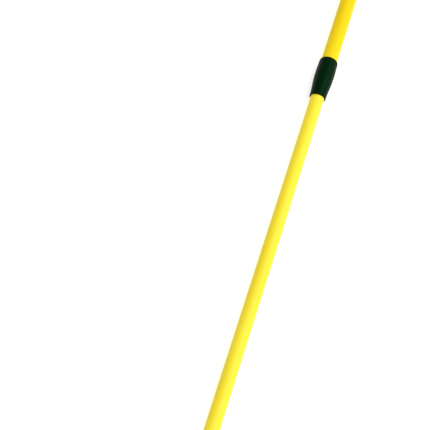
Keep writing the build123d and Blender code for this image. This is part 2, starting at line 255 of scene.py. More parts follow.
def mouth_rings(skin, loop, other, hole):
    """Rings of points from a patch's edge to the hole's wall. Each ring closes in from the edge
    towards a circle and keeps the surface's radius; the last ones turn in over a quarter round."""
    across, up, station = skin.points[loop].T
    surface = np.hypot(across, up)
    side = np.sign(across.mean())
    inward = np.sign(skin.points[other, 0].mean() - across.mean())
    spoke = np.stack([up, station - hole], -1)
    circle = spoke / np.linalg.norm(spoke, axis=1)[:, None]
    mouth = circle * (PIN_HOLE_R + RIM)
    rings = [(spoke * (1 - share) + mouth * share, 0) for share in PATCH_RINGS]
    for bend in np.linspace(0, pi / 2, RIM_STEPS)[1:]:
        rings.append((circle * (PIN_HOLE_R + RIM * (1 - sin(bend))), RIM * (1 - cos(bend))))
    places = []
    for flat, depth in rings:
        height = side * np.sqrt(surface**2 - flat[:, 0] ** 2) + inward * depth
        places.append(np.column_stack([height, flat[:, 0], hole + flat[:, 1]]))
    return places


def drill(skin, first, second, hole, side=1):
    """Joins two matching patches, left open in the skin, by the wall of a round hole."""
    loops = [edge_of(block)[::-side] for block in (first, second)]
    near = mouth_rings(skin, loops[0], loops[1], hole)
    far = mouth_rings(skin, loops[1], loops[0], hole)
    stack = skin.put(np.array(near + far[::-1]))
    whole = np.concatenate([loops[0][None], stack, loops[1][None]])
    skin.cover(whole, across=False, along=True)


def ring(outline, shape=None, around=AROUND, holes=()):
    """A closed outline, drawn up the pole on its outer sides, carried round the axis. holes are
    (station, outer radius, inner radius) of walls that a pin passes through, on both sides."""
    skin = Skin()
    grid = skin.put(turned(outline, shape, around))
    open_faces = np.zeros(grid.shape, bool)
    pairs = []
    for hole, outer, inner in holes:
        for side in (1, -1):
            patches = [patch_of(outline, grid, (r, inner), hole, side) for r in (outer, inner)]
            open_faces |= patches[0][1] | patches[1][1]
            pairs.append((patches[0][0], patches[1][0], hole, side))
    skin.cover(grid, along=True, leave_out=open_faces)
    for first, second, hole, side in pairs:
        drill(skin, first, second, hole, side)
    return skin


def solid(outline, hole):
    """An outline from axis to axis carried round it, closed by a pole point at each end. hole is
    the (station, radius) of one hole right through it."""
    skin = Skin()
    inner = outline[1:-1]
    grid = skin.put(turned(inner))
    station, radius = hole
    patches = [patch_of(inner, grid, (radius, radius), station, side) for side in (1, -1)]
    skin.cover(grid, leave_out=(patches[0][1] | patches[1][1])[:, :-1])
    drill(skin, patches[0][0], patches[1][0], station)
    skin.close(grid[:, 0], (0, 0, outline[0, 1]))
    skin.close(grid[::-1, -1], (0, 0, outline[-1, 1]))
    return skin


# ---- tubes -------------------------------------------------------------------------------------
TUBE_EDGE = 0.35 * MM


def tube(name, node, outer, inner, pins):
    """A tube wall with softened ends: a closed outline whose outer and inner sides are straight,
    drilled for its cross pins."""
    low, high = ends(node)
    outside = [corner for pin in pins for corner in hole_columns(outer, pin)]
    inside = [corner for pin in pins for corner in hole_columns(inner, pin)]
    outline = profile(
        (outer, low, TUBE_EDGE),
        *outside,
        (outer, high, TUBE_EDGE),
        (inner, high, TUBE_EDGE),
        *inside[::-1],
        (inner, low, TUBE_EDGE),
    )
    return make(name, ring(outline, holes=[(pin, outer, inner) for pin in pins]))


# ---- locking collar ----------------------------------------------------------------------------
COLLAR_R_MOUTH = 12.95 * MM
COLLAR_R_NECK, COLLAR_AT_NECK = 13.4 * MM, 12.0 * MM
COLLAR_R_SWELL, COLLAR_AT_SWELL = 14.7 * MM, 26.5 * MM
COLLAR_AT_CREST = 42.5 * MM
COLLAR_R_SHOULDER, COLLAR_AT_SHOULDER = 14.72 * MM, 67.0 * MM
COLLAR_LIP = 1.2 * MM
SHOULDER_TAPER = 0.04
SHOULDER_ROUND = 3.5 * MM
SHOULDER_TURN = 60.0           # degrees
SEAT_R = 12.05 * MM
LIP_BORE_R = 11.0 * MM
COLLAR_STEP = 1.2 * MM


def flowing(at, height, first_slope, last_slope, step):
    """A cubic spline with even curvature through (at, height) knots and given end slopes: the
    slopes between solve the three-term equations that make the second derivative continuous."""
    at, height = np.array(at), np.array(height)
    gap = np.diff(at)
    rise = np.diff(height) / gap
    count = len(at)
    terms, right = np.eye(count), np.zeros(count)
    right[0], right[-1] = first_slope, last_slope
    for i in range(1, count - 1):
        terms[i, i - 1 : i + 2] = gap[i], 2 * (gap[i - 1] + gap[i]), gap[i - 1]
        right[i] = 3 * (gap[i] * rise[i - 1] + gap[i - 1] * rise[i])
    slope = np.linalg.solve(terms, right)
    where = np.linspace(at[0], at[-1], int((at[-1] - at[0]) / step) + 1)
    i = np.clip(np.searchsorted(at, where, "right") - 1, 0, count - 2)
    t = (where - at[i]) / gap[i]
    value = (1 + 2 * t) * (1 - t) ** 2 * height[i] + t * t * (3 - 2 * t) * height[i + 1]
    value += gap[i] * t * (1 - t) * ((1 - t) * slope[i] - t * slope[i + 1])
    return where, value


def collar_outside():
    """Radius and distance from the mouth: lip round, two flowing curves that meet at the crest,
    and a shoulder arc that turns in towards the base tube."""
    crest_r = reach("lock_collar")
    bend = np.linspace(0, pi / 2, ARC_STEPS)
    lip = np.column_stack([np.sin(bend), 1 - np.cos(bend)]) * COLLAR_LIP
    lip[:, 0] += COLLAR_R_MOUTH - COLLAR_LIP
    front = flowing(
        (COLLAR_LIP, COLLAR_AT_NECK, COLLAR_AT_SWELL, COLLAR_AT_CREST),
        (COLLAR_R_MOUTH, COLLAR_R_NECK, COLLAR_R_SWELL, crest_r),
        0,
        0,
        COLLAR_STEP,
    )
    back = flowing(
        (COLLAR_AT_CREST, COLLAR_AT_SHOULDER),
        (crest_r, COLLAR_R_SHOULDER),
        0,
        -SHOULDER_TAPER,
        COLLAR_STEP,
    )
    lean = np.arctan(SHOULDER_TAPER)
    bend = np.linspace(lean, lean + radians(SHOULDER_TURN), 2 * ARC_STEPS)
    arc_r = COLLAR_R_SHOULDER + SHOULDER_ROUND * (np.cos(bend) - cos(lean))
    arc_at = COLLAR_AT_SHOULDER + SHOULDER_ROUND * (np.sin(bend) - sin(lean))
    shoulder = np.column_stack([arc_r, arc_at])
    curves = [lip, np.column_stack(front[::-1])[1:], np.column_stack(back[::-1])[1:], shoulder[1:]]
    return np.concatenate(curves)


def lock_collar_sleeve():
    """The moulded barrel: its flowing outside, and the stepped seat for bush and seal inside."""
    mouth = ends("lock_collar")[1]
    outside = collar_outside()[::-1] * (1, -1) + (0, mouth)
    tube_end = ends("outer_tube")[1]
    lip_base = mouth - COLLAR_LIP
    inside = np.array([
        (LIP_BORE_R, mouth),
        (LIP_BORE_R, lip_base),
        (SEAT_R, lip_base),
        (SEAT_R, tube_end),
        (BASE_R + GAP, tube_end),
        (BASE_R + GAP, outside[0, 1]),
    ])
    return make("lock_collar_sleeve", ring(divided(np.concatenate([outside, inside]))))


# ---- hand grip ---------------------------------------------------------------------------------
GRIP_CORNER = 7.5 * MM
GRIP_END = 2.4 * MM
BANDS, BAND_START, BAND_PITCH, BAND_WIDTH = 3, 7.0 * MM, 4.0 * MM, 1.4 * MM
BAND_DEPTH, BAND_SOFT = 0.5 * MM, 0.35 * MM
PADS, PAD_PITCH = 11, 8.0 * MM
PAD_HALF_WIDTH, PAD_HALF_LENGTH, PAD_DEPTH = 4.0 * MM, 2.9 * MM, 0.45 * MM
PAD_SOFT = 0.75                # share of a pad that its sloping edge takes up
GRIP_STEP = 0.55 * MM
GRIP_AROUND = 168


def grip_flat_r():
    """Distance from the axis to the grip's flats."""
    low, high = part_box("hand_grip")
    return (high.z - low.z) / 2


def six_sided(turn, flat_r):
    """Distance from the axis to a hexagon with round corners, and the angle from the nearest
    flat's middle: flat_r / cos on the flats, and a circle about the inner corner elsewhere."""
    off = abs((turn - pi / 2 + pi / 6) % (pi / 3) - pi / 6)
    corner = (flat_r - GRIP_CORNER) / cos(pi / 6)
    from_corner = pi / 6 - off
    bend = np.sqrt(np.maximum(GRIP_CORNER**2 - (corner * np.sin(from_corner)) ** 2, 0))
    on_flat = off < np.arctan(corner * sin(pi / 6) / flat_r)
    return np.where(on_flat, flat_r / np.cos(off), corner * np.cos(from_corner) + bend), off


def grip_shape(turn, station, radius):
    """The grip's radius: the round bore, stretched to six sides towards the outside, less the
    ring grooves, less a row of cushion-shaped pads sunk in each flat (fourth-power ovals)."""
    low, high = ends("hand_grip")
    flat_r = grip_flat_r()
    bore = BASE_R + GAP
    outside, off = six_sided(turn, flat_r)
    share = (radius - bore) / (flat_r - bore)
    shaped = bore + share * (outside - bore)
    from_end = np.minimum(station - low, high - station)
    groove = 0
    for band in range(BANDS):
        centre = BAND_START + band * BAND_PITCH + BAND_WIDTH / 2
        away = abs(from_end - centre) - BAND_WIDTH / 2
        groove = groove + 1 - smooth(away, -BAND_SOFT / 2, BAND_SOFT / 2)
    shaped = np.where(share > 0.5, shaped - groove * (shaped - flat_r + BAND_DEPTH), shaped)
    along = station - (low + high) / 2
    within = abs(along) < PADS * PAD_PITCH / 2
    along = (along + PAD_PITCH / 2 * PADS) % PAD_PITCH - PAD_PITCH / 2
    oval = (outside * np.sin(off) / PAD_HALF_WIDTH) ** 4 + (along / PAD_HALF_LENGTH) ** 4
    return shaped - PAD_DEPTH * smooth(1 - oval, 0, PAD_SOFT) * within * (share > 0.5)


def grip_sleeve():
    """The soft six-sided sleeve over the base tube, with fine columns along its outside."""
    low, high = ends("hand_grip")
    flat_r = grip_flat_r()
    bore = BASE_R + GAP
    stations = np.arange(low + GRIP_END + GRIP_STEP, high - GRIP_END, GRIP_STEP)
    outline = profile(
        (flat_r, low, GRIP_END),
        *[(flat_r, station) for station in stations],
        (flat_r, high, GRIP_END),
        (bore, high, TUBE_EDGE),
        (bore, low, TUBE_EDGE),
    )
    return make("grip_sleeve", ring(outline, grip_shape, GRIP_AROUND))


# ---- end cap with its hanging tongue -----------------------------------------------------------
CAP_R = 14.4 * MM
FACE_R, FACE_AT = 8.0 * MM, 19.0 * MM
DOME_MID_R, DOME_MID_AT = 12.8 * MM, 23.4 * MM
DOME_AT = 29.0 * MM
DOME_POINTS = 14
FACE_ROUND = 2.2 * MM
SKIRT_EDGE = 0.8 * MM
CAP_SEAT = 34.0 * MM
PLUG_EDGE = 1.5 * MM
STEM_R, STEM_DEPTH = 2.55 * MM, 6.0 * MM
TONGUE_HALF, TONGUE_HALF_THICK, TONGUE_ROUND = 11.0 * MM, 4.5 * MM, 2.2 * MM
TONGUE_ROOT = 23.5 * MM        # how deep the tongue is sunk into the head
TONGUE_SPACING = 0.7 * MM
TONGUE_ROWS = 18
HANG_R, HANG_ROUND = 4.5 * MM, 1.0 * MM
ROOT_BLEND = 3.2 * MM
ROOT_SINK = 0.12 * MM
HALVINGS = 20


def dome_circle():
    """Centre (radius, station) and size of the circle through the dome's three points."""
    a = np.array([FACE_R, FACE_AT])
    b = np.array([DOME_MID_R, DOME_MID_AT])
    c = np.array([CAP_R, DOME_AT])
    sides = 2 * np.array([b - a, c - a])
    centre = np.linalg.solve(sides, [b @ b - a @ a, c @ c - a @ a])
    return centre, np.linalg.norm(a - centre)


def head_station(radius):
    """The station of the dome's surface at a distance from the axis."""
    centre, size = dome_circle()
    return centre[1] - np.sqrt(size**2 - (radius - centre[0]) ** 2)


def head_distance(places):
    """Signed distance to the head: the larger of those to its flat face and to its dome."""
    centre, size = dome_circle()
    radius = np.maximum(np.hypot(places[..., 0], places[..., 1]), centre[0])
    station = places[..., 2]
    return np.maximum(FACE_AT - station, np.hypot(radius - centre[0], station - centre[1]) - size)


def blend_out(places, normals):
    """How far each point of the tab moves out along its normal to flow into the head: to where
    the smooth minimum of its distances from tab and head is nought, found by halving."""
    near, far = np.zeros(places.shape[:-1]), np.full(places.shape[:-1], ROOT_BLEND)
    for _ in range(HALVINGS):
        tried = (near + far) / 2
        from_head = head_distance(places + normals * tried[..., None])
        overlap = np.maximum(ROOT_BLEND - abs(tried - from_head), 0)
        inside = np.minimum(tried, from_head) - overlap**2 / (4 * ROOT_BLEND) < 0
        near, far = np.where(inside, tried, near), np.where(inside, far, tried)
    return near - ROOT_SINK * smooth(-head_distance(places), 0, ROOT_BLEND / 2)


def cap_head():
    """Face, dome and skirt outside, the seat for the tube's end, and the drilled plug inside."""
    skirt_end = ends("hand_grip")[0] - 2 * GAP
    plug_end = ends("end_cap")[1]
    plug_r = BASE_BORE_R - GAP
    pin = middle("end_cap_pin")
    dome = np.linspace(FACE_R, CAP_R, DOME_POINTS)[1:-1]
    outline = profile(
        (0, FACE_AT),
        (FACE_R, FACE_AT, FACE_ROUND / 3),
        *zip(dome, head_station(dome)),
        (CAP_R, DOME_AT),
        (CAP_R, skirt_end, SKIRT_EDGE),
        (BASE_R + GAP, skirt_end, TUBE_EDGE),
        (BASE_R + GAP, CAP_SEAT),
        (plug_r, CAP_SEAT),
        *hole_columns(plug_r, pin),
        (plug_r, plug_end, PLUG_EDGE),
        (STEM_R, plug_end, TUBE_EDGE),
        (STEM_R, plug_end - STEM_DEPTH),
        (0, plug_end - STEM_DEPTH),
        closed=False,
    )
    return solid(outline, hole=(pin, plug_r))


def tongue_outline():
    """Points (across, station) and inward directions round the tongue as seen from above: up one
    side, round the half circle at the end, down the other side, and across inside the head."""
    side = np.arange(TONGUE_ROOT, TONGUE_HALF, -TONGUE_SPACING)
    count = int(pi * TONGUE_HALF / TONGUE_SPACING)
    bend = np.linspace(0, pi, count)
    back = np.arange(-TONGUE_HALF, TONGUE_HALF, 2 * TONGUE_SPACING)[1:]
    points = np.concatenate([
        np.column_stack([0 * side + TONGUE_HALF, side]),
        np.column_stack([np.cos(bend), 1 - np.sin(bend)]) * TONGUE_HALF,
        np.column_stack([0 * side - TONGUE_HALF, side[::-1]]),
        np.column_stack([back, 0 * back + TONGUE_ROOT]),
    ])
    inward = np.concatenate([
        np.column_stack([0 * side - 1, 0 * side]),
        np.column_stack([-np.cos(bend), np.sin(bend)]),
        np.column_stack([0 * side + 1, 0 * side]),
        np.column_stack([0 * back, 0 * back - 1]),
    ])
    return points, inward


def cap_tongue():
    """The flat tab as a surface that closes both ways: a column for each point of its outline,
    and rows that go up its rounded edge, in over the top to the hole and down the hole's wall,
    then the same mirrored underneath. At its root it flows out into the head."""
    points, inward = tongue_outline()
    centre = np.array([0, TONGUE_HALF])
    level = np.ones((len(points), 1))
    rows, normals = [], []
    for bend in np.linspace(0, pi / 2, ARC_STEPS + 1):
        flat = points + inward * TONGUE_ROUND * (1 - cos(bend))
        height = TONGUE_HALF_THICK - TONGUE_ROUND * (1 - sin(bend))
        rows.append(np.column_stack([flat[:, 0], height * level, flat[:, 1]]))
        normals.append(np.column_stack([-inward[:, 0] * cos(bend), sin(bend) * level, 0 * level]))
    edge = rows[-1][:, [0, 2]]
    spoke = (edge - centre) / np.linalg.norm(edge - centre, axis=1)[:, None]
    rim = centre + spoke * (HANG_R + HANG_ROUND)
    for share in np.linspace(0, 1, TONGUE_ROWS)[1:]:
        flat = edge + (rim - edge) * share
        rows.append(np.column_stack([flat[:, 0], TONGUE_HALF_THICK * level, flat[:, 1]]))
        normals.append(np.column_stack([0 * level, level, 0 * level]))
    for bend in np.linspace(0, pi / 2, ARC_STEPS)[1:]:
        flat = centre + spoke * (HANG_R + HANG_ROUND * (1 - sin(bend)))
        height = TONGUE_HALF_THICK - HANG_ROUND * (1 - cos(bend))
        rows.append(np.column_stack([flat[:, 0], height * level, flat[:, 1]]))
        normals.append(np.zeros((len(points), 3)))
    top, normals = np.array(rows), np.array(normals)
    top = top + normals * blend_out(top, normals)[..., None]
    skin = Skin()
    skin.cover(skin.put(np.concatenate([top, top[::-1] * (1, -1, 1)])), along=True)
    return skin


def hanging_cap():
    """The turned head and the flat tongue, whose root is sunk into the head."""
    return make("hanging_cap", cap_head(), cap_tongue())


# ---- tip ---------------------------------------------------------------------------------------
FERRULE_SKIRT, FERRULE_SHANK = 22.0 * MM, 32.0 * MM
FERRULE_EDGE = 1.2 * MM
SHOULDER_LEDGE = 0.3 * MM      # how far the ferrule's end shows round the metal flange
FERRULE_AROUND = 240
SPIGOT_R = 6.0 * MM
FLUTES, FLUTE_DEPTH, FLUTE_FADE = 24, 0.35 * MM, 2.5 * MM
PIN_CLEARING = 0.3, 0.5        # sines of the angles between which the flutes start beside the pin
FLANGE_EDGE = 0.6 * MM
THREAD_R = 9.525 * MM
PITCH = 5.08 * MM
THREAD_DEPTH = 2.4 * MM
THREAD_RUNOUT = 2.2 * MM
THREAD_LENGTH = 26.0 * MM
HALF_CREST, FLANK = 0.95 * MM, 0.62 * MM
CREST_ROUND, ROOT_ROUND = 0.28 * MM, 0.4 * MM
SUNK, FOOT_SUNK = 0.3 * MM, GAP / 4   # depths of the ridge's underside and of its fillets' ends
NOSE_LENGTH, NOSE_R = 4.5 * MM, 5.9 * MM
TURN_STEPS = 96
BURIED_SHARE = 0.9             # how much of the nose's slim end the thread runs on under
NOSE_LEAN = 0.02               # keeps the ridge's layers apart where the nose cuts it back


def ferrule_shape(turn, station, radius):
    """Shallow lengthwise flutes in the skirt, each a raised cosine squared, that fade out towards
    its ends and round the pin."""
    low, high = ends("inner_tube")[1] - FERRULE_SKIRT, ends("inner_tube")[1]
    on_skirt = radius > reach("tip_ferrule") - GAP
    lengthwise = smooth(station, low + FLUTE_FADE, low + 2 * FLUTE_FADE)
    lengthwise = lengthwise * (1 - smooth(station, high - 2 * FLUTE_FADE, high - FLUTE_FADE))
    clear_of_pin = smooth(abs(np.sin(turn)), *PIN_CLEARING)
    wave = 0.5 - 0.5 * np.cos(FLUTES * turn)
    return radius - on_skirt * FLUTE_DEPTH * lengthwise * clear_of_pin * wave**2


def tip_ferrule_sleeve():
    """Skirt over the tube, shank inside it and the shoulder that carries the metal tip."""
    tube_end = ends("inner_tube")[1]
    shoulder = ends("tip_ferrule")[1]
    skirt, shank = tube_end - FERRULE_SKIRT, tube_end - FERRULE_SHANK
    pin = middle("tip_cross_pin")
    skirt_r = reach("tip_ferrule")
    seat_r = EXTENSION_R + GAP
    shank_r = EXTENSION_BORE_R - GAP
    bore = SPIGOT_R + GAP
    flange_r = reach("threaded_tip")
    fades = [skirt + FLUTE_FADE, skirt + 1.5 * FLUTE_FADE, skirt + 2 * FLUTE_FADE]
    fades_high = [skirt + tube_end - station for station in fades[::-1]]
    outline = profile(
        (skirt_r, skirt, FERRULE_EDGE),
        *[(skirt_r, station) for station in fades],
        *hole_columns(skirt_r, pin),
        *[(skirt_r, station) for station in fades_high],
        (skirt_r, tube_end + FERRULE_EDGE, FERRULE_EDGE),
        (flange_r + SHOULDER_LEDGE, shoulder, FERRULE_EDGE / 2),
        (bore, shoulder),
        *hole_columns(bore, pin)[::-1],
        (bore, shank),
        (shank_r, shank, TUBE_EDGE),
        *hole_columns(shank_r, pin),
        (shank_r, tube_end + GAP),
        (seat_r, tube_end + GAP),
        *hole_columns(seat_r, pin)[::-1],
        (seat_r, skirt, TUBE_EDGE),
    )
    holes = [(pin, skirt_r, seat_r), (pin, shank_r, bore)]
    return make("tip_ferrule_sleeve", ring(outline, ferrule_shape, FERRULE_AROUND, holes))


def tip_core():
    """Spigot, seat flange and the thread's core, cut back to the coned nose."""
    base, end = ends("threaded_tip")
    thread = end - THREAD_LENGTH
    flange = ends("tip_ferrule")[1] + GAP
    core = THREAD_R - THREAD_DEPTH
    spigot, flange_r = SPIGOT_R, reach("threaded_tip")
    cone = end - NOSE_LENGTH * (core - NOSE_R) / (THREAD_R - NOSE_R)
    pin = middle("tip_cross_pin")
    outline = profile(
        (0, base),
        (spigot, base, FLANGE_EDGE),
        *hole_columns(spigot, pin),
        (spigot, flange),
        (flange_r, flange, FLANGE_EDGE),
        (flange_r, thread, FLANGE_EDGE),
        (core, thread, ROOT_ROUND),
        (core, cone),
        (NOSE_R, end, FLANGE_EDGE),
        (0, end),
        closed=False,
    )
    return solid(outline, hole=(pin, spigot))


def thread_ridge():
    """A trapezoid with a rounded crest and filleted roots, carried up a right-hand helix: its
    height grows from nothing over the first quarter turn and is cut back to the nose's cone."""
    end = ends("threaded_tip")[1]
    low = end - THREAD_LENGTH + THREAD_RUNOUT
    core = THREAD_R - THREAD_DEPTH
    half_root = HALF_CREST + FLANK
    foot = half_root + 2 * ROOT_ROUND
    section = profile(
        (-SUNK, -foot),
        (-FOOT_SUNK, -foot),
        (0, -half_root, ROOT_ROUND),
        (THREAD_DEPTH, -HALF_CREST, CREST_ROUND),
        (THREAD_DEPTH, HALF_CREST, CREST_ROUND),
        (0, half_root, ROOT_ROUND),
        (-FOOT_SUNK, foot),
        (-SUNK, foot),
    )
    cone_slope = (THREAD_R - NOSE_R) / NOSE_LENGTH
    buried = (core - NOSE_R) / cone_slope
    turns = (THREAD_LENGTH - THREAD_RUNOUT + foot - BURIED_SHARE * buried) / PITCH
    angle = np.linspace(0, 2 * pi * turns, int(turns * TURN_STEPS))[:, None]
    grown = smooth(angle, 0, pi / 2)
    height = np.where(section[:, 0] > 0, section[:, 0] * grown, section[:, 0])
    station = low + PITCH * angle / (2 * pi) + section[:, 1]
    cone = NOSE_R + (end - station) * cone_slope - GAP
    radius = np.minimum(core + height, cone - (THREAD_DEPTH - height) * NOSE_LEAN)
    station = np.minimum(station, end - GAP)
    skin = Skin()
    grid = skin.put(np.stack([radius * np.cos(angle), radius * np.sin(angle), station], -1))
    skin.cover(grid, across=False, along=True)
    middles = skin.points[grid].mean(1)
    skin.close(grid[0][::-1], middles[0])
    skin.close(grid[-1], middles[-1])
    return skin


def threaded_tip_casting():
    """The turned core and the helical ridge, whose foot is sunk into the core."""
    return make("threaded_tip_casting", tip_core(), thread_ridge())


# ---- finishes ----------------------------------------------------------------------------------
class Finish:
    """A material whose nodes are added by short calls. Patterns are placed on the pole's axis:
    places() gives Object coordinates centred on it and stretched by a scale for each direction."""

    def __init__(self, name, **shader):
        self.material = bpy.data.materials.new(name)
        self.material.use_nodes = True
        self.tree = self.material.node_tree
        self.shader = self.tree.nodes["Principled BSDF"]
        for socket, value in shader.items():
            self.shader.inputs[socket.replace("_", " ")].default_value = value
        self.coordinates = self.add("ShaderNodeTexCoord").outputs["Object"]

    def add(self, kind, inputs=(), **settings):
        """A node with its settings, and its inputs set to values or linked to other sockets."""
        node = self.tree.nodes.new(kind)
        for setting, value in settings.items():
            setattr(node, setting, value)
        for socket, value in dict(inputs).items():
            self.give(node.inputs[socket], value)
        return node

    def give(self, socket, value):
        """Links a socket to another one, or sets its value."""
        if isinstance(value, bpy.types.NodeSocket):
            self.tree.links.new(value, socket)
        else:
            socket.default_value = value

    def places(self, *scale):
        centre = (0, 0, -AXIS_HEIGHT * scale[2])
        inputs = {"Vector": self.coordinates, "Location": centre, "Scale": scale}
        return self.add("ShaderNodeMapping", inputs).outputs["Vector"]

    def noise(self, scale, detail=2.0, rough=0.5, stretch=(1, 1, 1)):
        """Fractal noise between 0 and 1."""
        inputs = {"Vector": self.places(*stretch), "Scale": scale, "Detail": detail, "Roughness": rough}
        return self.add("ShaderNodeTexNoise", inputs).outputs["Fac"]

    def cells(self, scale, feature="F1"):
        """Distance to the middle of the nearest cell."""
        inputs = {"Vector": self.places(1, 1, 1), "Scale": scale}
        return self.add("ShaderNodeTexVoronoi", inputs, feature=feature).outputs["Distance"]

    def scaled(self, value, low, high, to_low=0.0, to_high=1.0):
        """A value taken evenly from one range to another, and held at its ends."""
        inputs = {"Value": value, "From Min": low, "From Max": high}
        inputs.update({"To Min": to_low, "To Max": to_high})
        return self.add("ShaderNodeMapRange", inputs).outputs["Result"]

    def maths(self, operation, first, second=0.0):
        return self.add("ShaderNodeMath", {0: first, 1: second}, operation=operation).outputs[0]

    def mixed(self, share, first, second):
        """The first colour where the share is 0, and the second where it is 1."""
        node = self.add("ShaderNodeMix", data_type="RGBA")
        for socket, value in zip((0, 6, 7), (share, first, second)):
            self.give(node.inputs[socket], value)
        return node.outputs[2]

    def from_axis(self):
        """The distance from the pole's axis: the root of across squared and up squared."""
        split = self.add("ShaderNodeSeparateXYZ", {"Vector": self.places(1, 1, 1)}).outputs
        squares = [self.maths("MULTIPLY", split[axis], split[axis]) for axis in "XZ"]
        return self.maths("SQRT", self.maths("ADD", *squares))

    def worn_edges(self, low=0.52, high=0.6):
        """Where the mesh is convex: its edges and crests."""
        return self.scaled(self.add("ShaderNodeNewGeometry").outputs["Pointiness"], low, high)

    def bumps(self, *layers):
        """Bump nodes in a chain, from (height, depth in metres, strength)."""
        normal = None
        for height, depth, strength in layers:
            inputs = {"Height": height, "Distance": depth, "Strength": strength}
            if normal:
                inputs["Normal"] = normal
            normal = self.add("ShaderNodeBump", inputs).outputs["Normal"]
        self.give(self.shader.inputs["Normal"], normal)

    def done(self, colour, roughness):
        """The material, with its colour and roughness given to the shader."""
        self.give(self.shader.inputs["Base Color"], colour)
        self.give(self.shader.inputs["Roughness"], roughness)
        return self.material


def glass_fibre(name, face, deep, pale, scuffs, sheen):
    """Resin over lengthwise glass: long streaks of fibre, a cloudy drift of colour, a satin clear
    skin, and hairline scuffs. scuffs is how strongly the surface is rubbed lengthwise, and sheen
    how strongly it reflects."""
    f = Finish(name, Specular_IOR_Level=sheen, Coat_Weight=0.03, Coat_Roughness=0.2)
    fibre = f.noise(900, 3, 0.6, (1, 0.012, 1))
    strands = f.noise(2600, 2, 0.5, (1, 0.008, 1))
    clouds = f.noise(9, 3, 0.5, (1, 0.35, 1))
    scratch = f.noise(1500, 4, 0.7, (1, 0.03, 1))
    rubbed = f.maths("MULTIPLY", f.scaled(scratch, 0.62, 0.72), scuffs)
    specks = f.scaled(f.cells(420), 0.06, 0.0)
    colour = f.mixed(f.scaled(clouds, 0.35, 0.65), deep, face)
    colour = f.mixed(f.scaled(fibre, 0.5, 0.75, 0, 0.45), colour, pale)
    colour = f.mixed(f.scaled(strands, 0.42, 0.3, 0, 0.3), colour, deep)
    colour = f.mixed(rubbed, colour, pale)
    colour = f.mixed(f.maths("MULTIPLY", specks, 0.25), colour, deep)
    satin = f.scaled(fibre, 0.3, 0.7, 0.36, 0.46)
    roughness = f.maths("ADD", satin, f.maths("MULTIPLY", rubbed, 0.2))
    f.bumps((fibre, 0.00004, 0.5), (strands, 0.00002, 0.4), (f.noise(60, 2), 0.0001, 0.25))
    return f.done(colour, roughness)


def moulded(name, face, deep, worn, grain=1.0, gloss=0.42):
    """Moulded plastic: a fine spark-eroded grain, faint flow marks, paler rubbed edges and a
    little dust in the grain."""
    f = Finish(name, Specular_IOR_Level=0.08, Specular_Tint=GREEN_TINT)
    fine = f.noise(2400, 3, 0.6)
    pits = f.cells(1700, "SMOOTH_F1")
    flow = f.noise(45, 3, 0.55, (1, 0.25, 1))
    dust = f.scaled(f.noise(320, 4, 0.65), 0.58, 0.75, 0, 0.35)
    rub = f.maths("MULTIPLY", f.worn_edges(), f.scaled(f.noise(180, 3), 0.35, 0.6))
    colour = f.mixed(f.scaled(flow, 0.35, 0.65), deep, face)
    colour = f.mixed(f.scaled(fine, 0.4, 0.7, 0, 0.25), colour, worn)
    colour = f.mixed(dust, colour, worn)
    colour = f.mixed(f.maths("MULTIPLY", rub, 0.4), colour, worn)
    grained = f.scaled(fine, 0.3, 0.7, gloss - 0.05, gloss + 0.08)
    roughness = f.maths("SUBTRACT", grained, f.maths("MULTIPLY", rub, 0.12))
    f.bumps((fine, 0.00005, 0.5 * grain), (pits, 0.00004, 0.4 * grain), (flow, 0.00015, 0.15))
    return f.done(colour, roughness)


def grip_rubber(name, face, deep, worn):
    """Soft matt rubber: pebbled skin, a bloom that gathers in the hollows, polished high spots."""
    f = Finish(name, Specular_IOR_Level=0.15, Specular_Tint=GREEN_TINT, Sheen_Weight=0.01)
    pebble = f.cells(1100, "SMOOTH_F1")
    fine = f.noise(3200, 2)
    bloom = f.noise(70, 4, 0.6)
    hollow = f.scaled(f.add("ShaderNodeNewGeometry").outputs["Pointiness"], 0.5, 0.44)
    polish = f.worn_edges(0.51, 0.56)
    colour = f.mixed(f.scaled(bloom, 0.35, 0.7), deep, face)
    colour = f.mixed(f.maths("MULTIPLY", hollow, 0.45), colour, worn)
    colour = f.mixed(f.scaled(pebble, 0.5, 0.1, 0, 0.3), colour, deep)
    matt = f.scaled(bloom, 0.3, 0.7, 0.55, 0.72)
    roughness = f.maths("SUBTRACT", matt, f.maths("MULTIPLY", polish, 0.15))
    f.bumps((pebble, 0.00012, 0.5), (fine, 0.00003, 0.4))
    return f.done(colour, roughness)


def black_rubber(name):
    """Seal rubber: a greyish bloom over black, with a fine moulded grain."""
    f = Finish(name, IOR=1.5)
    bloom = f.noise(160, 4, 0.6)
    fine = f.noise(2800, 3)
    colour = f.mixed(f.scaled(bloom, 0.4, 0.7), (0.006, 0.006, 0.006, 1), (0.022, 0.022, 0.021, 1))
    f.bumps((fine, 0.00004, 0.5))
    return f.done(colour, f.scaled(bloom, 0.3, 0.7, 0.5, 0.68))


def nylon(name, face, deep):
    """Bearing nylon: slightly cloudy, with fine turned rings and rubbed, shinier running faces."""
    f = Finish(name, IOR=1.53)
    cloud = f.noise(90, 3)
    rings = f.noise(2200, 2, 0.5, (0.02, 1, 0.02))
    colour = f.mixed(f.scaled(cloud, 0.35, 0.65), deep, face)
    colour = f.mixed(f.scaled(rings, 0.45, 0.7, 0, 0.2), colour, deep)
    f.bumps((rings, 0.00003, 0.5), (f.noise(1200, 2), 0.00002, 0.3))
    return f.done(colour, f.scaled(rings, 0.3, 0.7, 0.32, 0.5))


